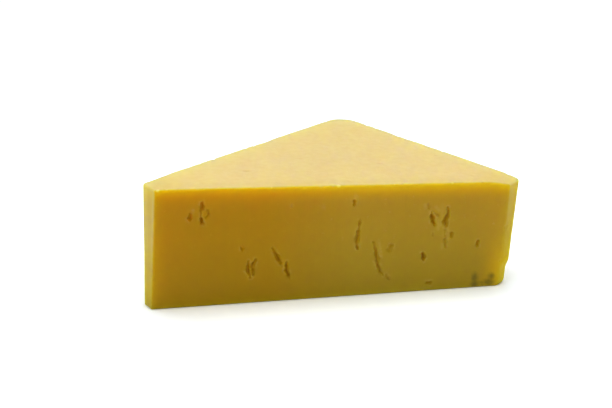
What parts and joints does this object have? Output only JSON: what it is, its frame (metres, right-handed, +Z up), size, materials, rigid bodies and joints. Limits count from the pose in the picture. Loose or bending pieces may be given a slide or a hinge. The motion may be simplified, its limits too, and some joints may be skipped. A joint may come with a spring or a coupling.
{
  "type": "cheddar block",
  "caption": "Hand-cut three-sided wedge of firm yellow cheese lying on its broad side, with a sliced-off blunt corner, a rounded rear corner and slightly leaning cut faces.",
  "frame": {"origin": "centre of the bounding box in plan, on the flat base that the block lies on", "axes": "+X along the long front cut face towards the nicked corner, +Y from the front face towards the rounded rear corner, +Z up through the thickness"},
  "size_m": [0.1256, 0.0706, 0.042],
  "materials": {
    "cheddar": "waxy satin"
  },
  "bodies": {
    "root": {"cheddar_block": "cheddar"}
  },
  "joints": []
}
